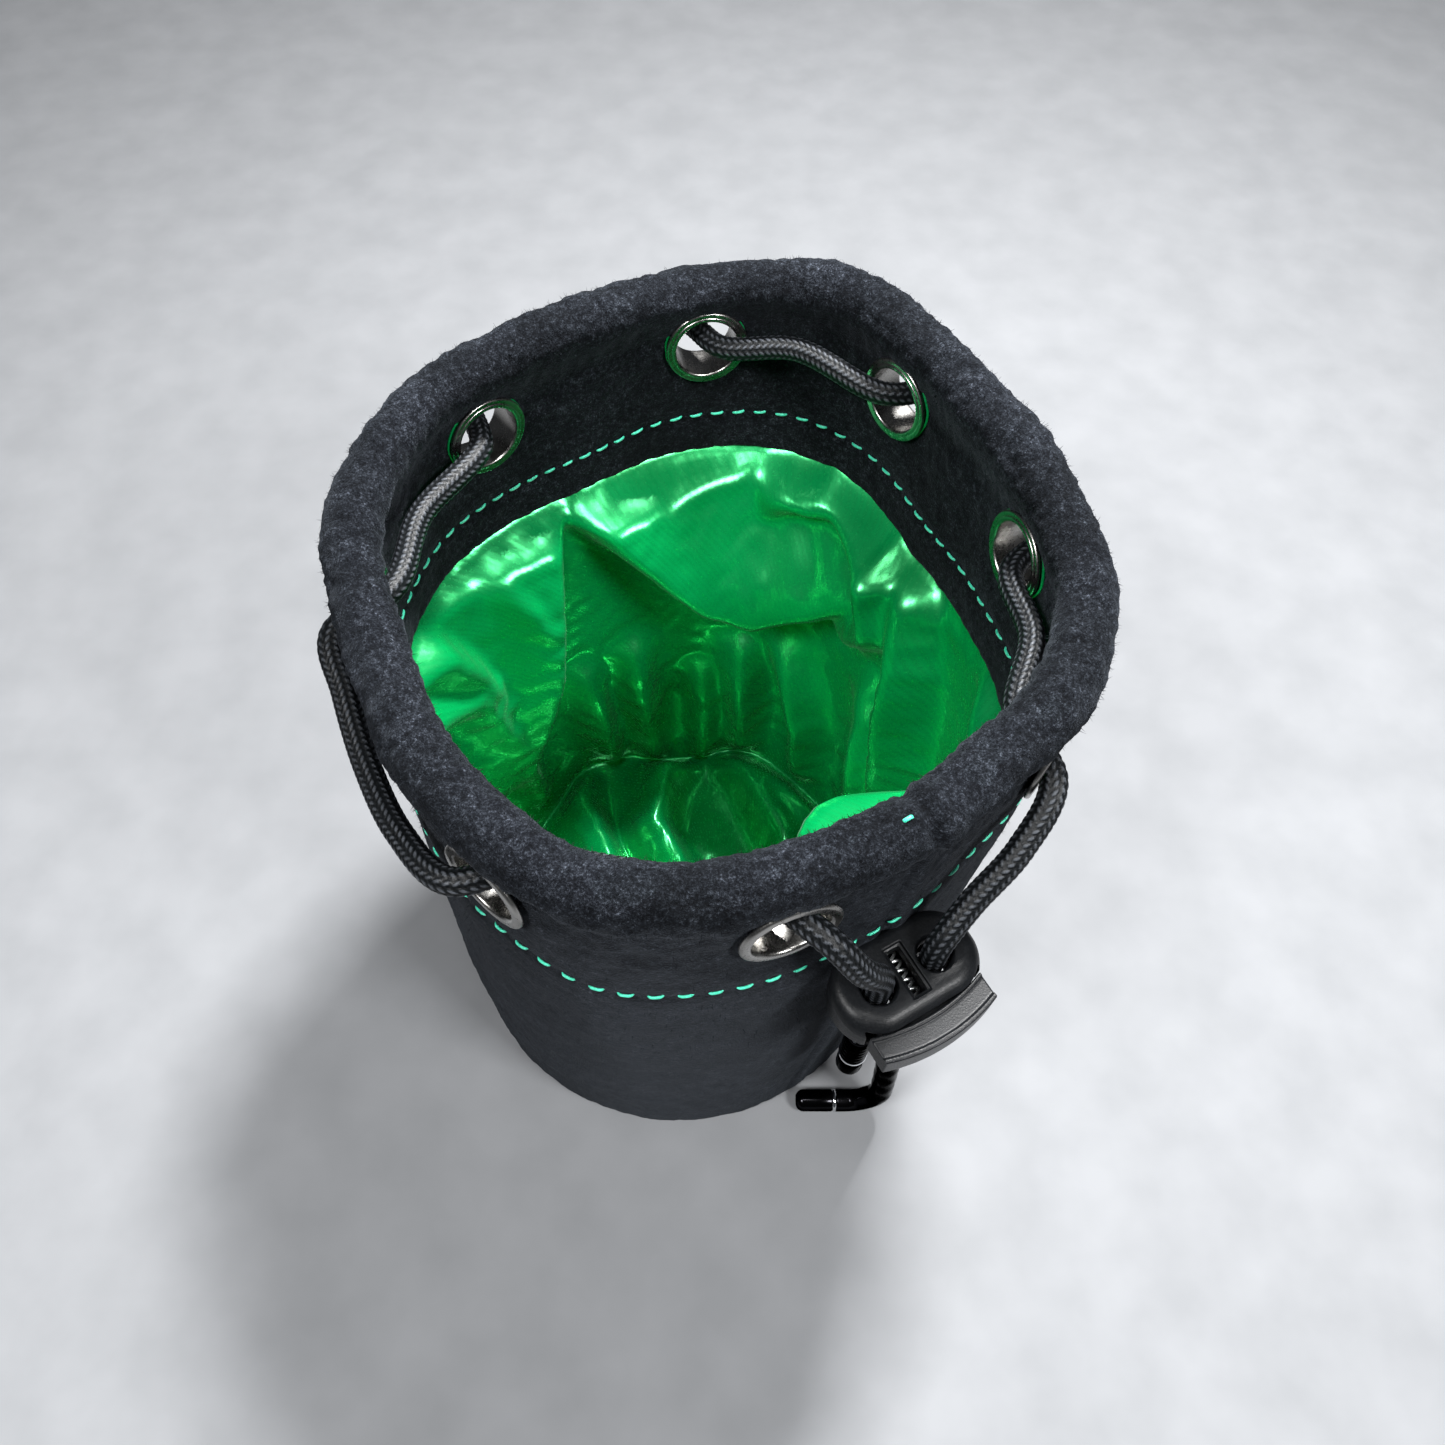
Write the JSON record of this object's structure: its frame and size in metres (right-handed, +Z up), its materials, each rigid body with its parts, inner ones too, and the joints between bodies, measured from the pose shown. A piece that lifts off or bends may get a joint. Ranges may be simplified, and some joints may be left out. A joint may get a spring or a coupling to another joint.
{
  "type": "drawstring dice bag",
  "caption": "Round suede drawstring bag that stands open, with a loose satin lining, eyelets, a braided cord and a sprung cord lock.",
  "frame": {"origin": "middle of the base, on the surface that the bag stands on", "axes": "+Z up to the open mouth, -Y towards the side where the cord lock hangs, +X to the right seen from that side"},
  "size_m": [0.1174, 0.1306, 0.14],
  "materials": {
    "suede": "charcoal suede, brushed nap",
    "satin": "emerald satin, glossy",
    "board": "grey-brown stiff board",
    "mint_thread": "mint polyester thread",
    "black_thread": "black polyester thread",
    "green_thread": "green polyester thread",
    "eyelet_metal": "gunmetal nickel plating",
    "braided_cord": "black braided nylon cord",
    "lock_plastic": "fine-textured black moulded plastic",
    "spring_steel": "bright spring wire",
    "gloss_sleeve": "glossy black shrink sleeve",
    "bright_ring": "bright metal ring"
  },
  "bodies": {
    "bag": {"outer_wall": "suede", "base_disc": "suede", "base_insert": "board", "lining_wall": "satin", "lining_bottom": "satin", "eyelet_1": "eyelet_metal", "eyelet_2": "eyelet_metal", "eyelet_3": "eyelet_metal", "eyelet_4": "eyelet_metal", "eyelet_5": "eyelet_metal", "eyelet_6": "eyelet_metal", "eyelet_7": "eyelet_metal", "eyelet_8": "eyelet_metal", "eyelet_washer_1": "eyelet_metal", "eyelet_washer_2": "eyelet_metal", "eyelet_washer_3": "eyelet_metal", "eyelet_washer_4": "eyelet_metal", "eyelet_washer_5": "eyelet_metal", "eyelet_washer_6": "eyelet_metal", "eyelet_washer_7": "eyelet_metal", "eyelet_washer_8": "eyelet_metal", "hem_stitching": "mint_thread", "base_stitching": "black_thread", "side_seam_thread": "mint_thread", "lining_seam_thread": "green_thread", "lining_tack": "green_thread", "drawstring": "braided_cord", "tail_sleeve_long": "gloss_sleeve", "tail_ring_long": "bright_ring", "tail_cap_long": "gloss_sleeve", "tail_sleeve_short": "gloss_sleeve", "tail_ring_short": "bright_ring", "tail_cap_short": "gloss_sleeve"},
    "lock": {"lock_body": "lock_plastic", "lock_spring": "spring_steel"},
    "plunger": {"lock_plunger": "lock_plastic"}
  },
  "joints": [
    {"name": "lock_slide", "type": "slide", "parent": "bag", "child": "lock", "axis": [0, 0, -1], "range_m": [0, 0.015]},
    {"name": "plunger_press", "type": "slide", "parent": "lock", "child": "plunger", "axis": [-0.5, 0.866, 0], "range_m": [0, 0.0035], "stiffness_N_per_m": 900, "springref_m": -0.002, "deforming": ["lock_spring"]}
  ]
}
